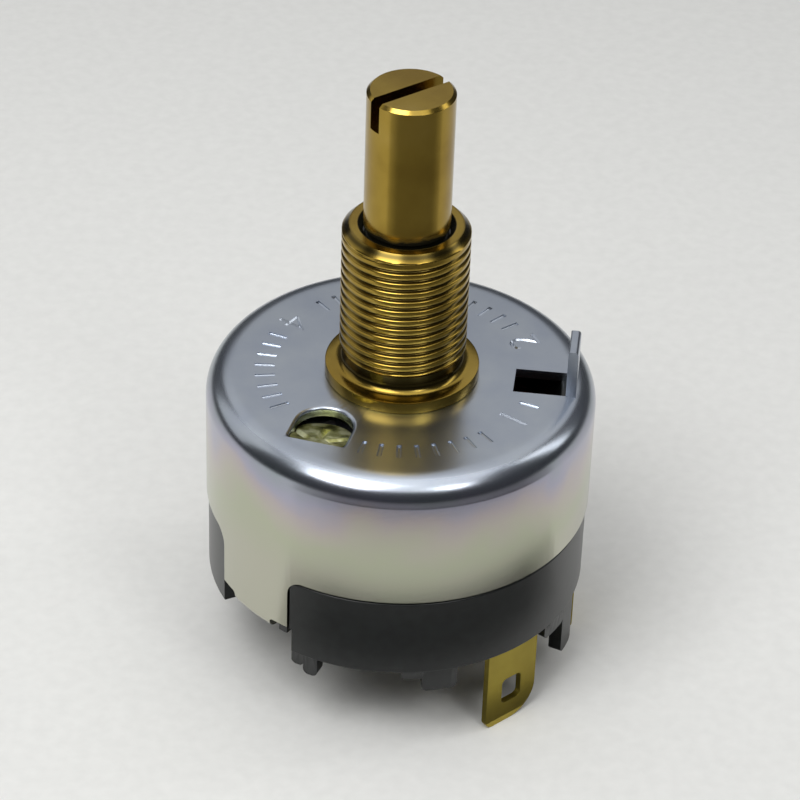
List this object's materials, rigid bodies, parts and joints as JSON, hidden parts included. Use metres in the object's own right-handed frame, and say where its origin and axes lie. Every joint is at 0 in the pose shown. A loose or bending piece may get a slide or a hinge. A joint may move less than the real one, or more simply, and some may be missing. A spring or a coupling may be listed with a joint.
{
  "type": "rotary switch",
  "caption": "Panel-mount rotary switch: slotted shaft in a threaded bushing, round pressed steel cover with a locating lug, moulded base and blade terminals.",
  "frame": {"origin": "on the shaft's axis at the cover's top face", "axes": "+Z along the shaft toward its slotted end, +X near the locating lug (5.5 degrees past it), -Y toward the viewer of the front"},
  "size_m": [0.0292, 0.0292, 0.0485],
  "materials": {
    "zinc_plated_steel": "bright zinc plating with a faint iridescent passivate",
    "turned_brass": "turned, bare",
    "spring_steel": "plain",
    "black_phenolic": "moulded, semi-gloss",
    "nylon": "moulded",
    "vulcanised_fibre": "plain",
    "strip_brass": "stamped, slightly tarnished",
    "silver_contact": "plain"
  },
  "bodies": {
    "housing": {"cover": "zinc_plated_steel", "bushing": "turned_brass", "detent_spring_left": "spring_steel", "detent_spring_right": "spring_steel", "insulating_disc": "vulcanised_fibre", "base": "black_phenolic", "terminal_common": "strip_brass", "terminal_1": "strip_brass", "terminal_2": "strip_brass", "terminal_3": "strip_brass", "contact_rivet_common": "silver_contact", "contact_rivet_1": "silver_contact", "contact_rivet_2": "silver_contact", "contact_rivet_3": "silver_contact"},
    "shaft_assembly": {"shaft": "turned_brass", "retaining_clip": "spring_steel", "stop_plate": "zinc_plated_steel", "index_cam": "nylon", "rotor": "nylon", "contact_spring": "spring_steel", "contact_bridge": "strip_brass", "bridge_contacts": "silver_contact"}
  },
  "joints": [
    {"name": "shaft_turn", "type": "hinge", "parent": "housing", "child": "shaft_assembly", "pos_m": [0, 0, 0], "axis": [0, 0, 1], "range_deg": [-180, 0], "deforming": ["detent_spring_left", "detent_spring_right"]}
  ]
}
